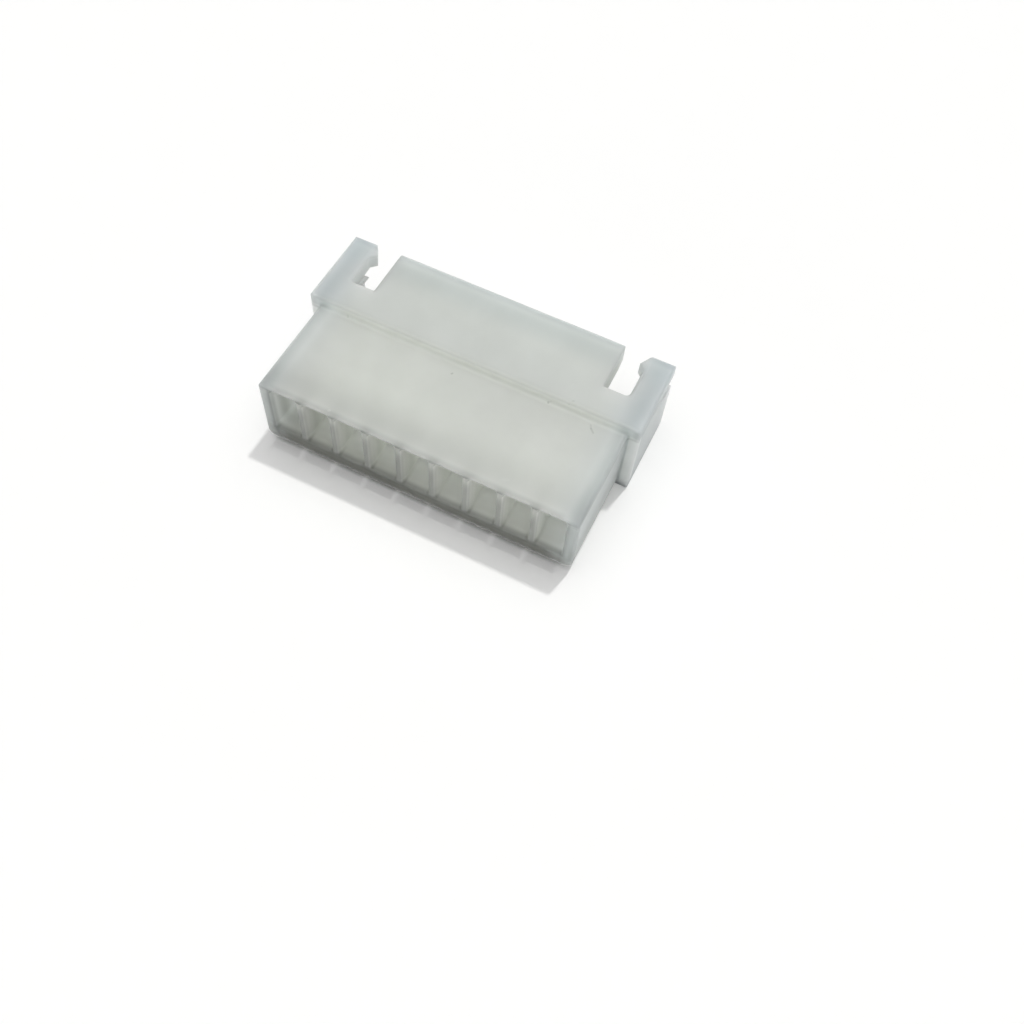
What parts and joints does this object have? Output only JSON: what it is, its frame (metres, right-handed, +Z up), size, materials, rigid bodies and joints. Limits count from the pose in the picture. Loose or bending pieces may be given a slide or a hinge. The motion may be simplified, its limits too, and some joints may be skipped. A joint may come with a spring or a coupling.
{
  "type": "wire to board connector housing",
  "caption": "Moulded multi-way crimp terminal housing in natural nylon: a flat row of wire-side cavities behind a hollow shroud with a hooked latch arm at each end.",
  "frame": {"origin": "middle of the footprint, on the underside of the shroud", "axes": "+X along the row of circuits, +Y the mating direction towards the mouth of the shroud, +Z up through the wall that carries the latch arms"},
  "size_m": [0.0252, 0.0146, 0.0068],
  "materials": {
    "natural_nylon": "natural milky nylon, moulded, low sheen, slightly translucent"
  },
  "bodies": {
    "root": {"housing": "natural_nylon"}
  },
  "joints": []
}
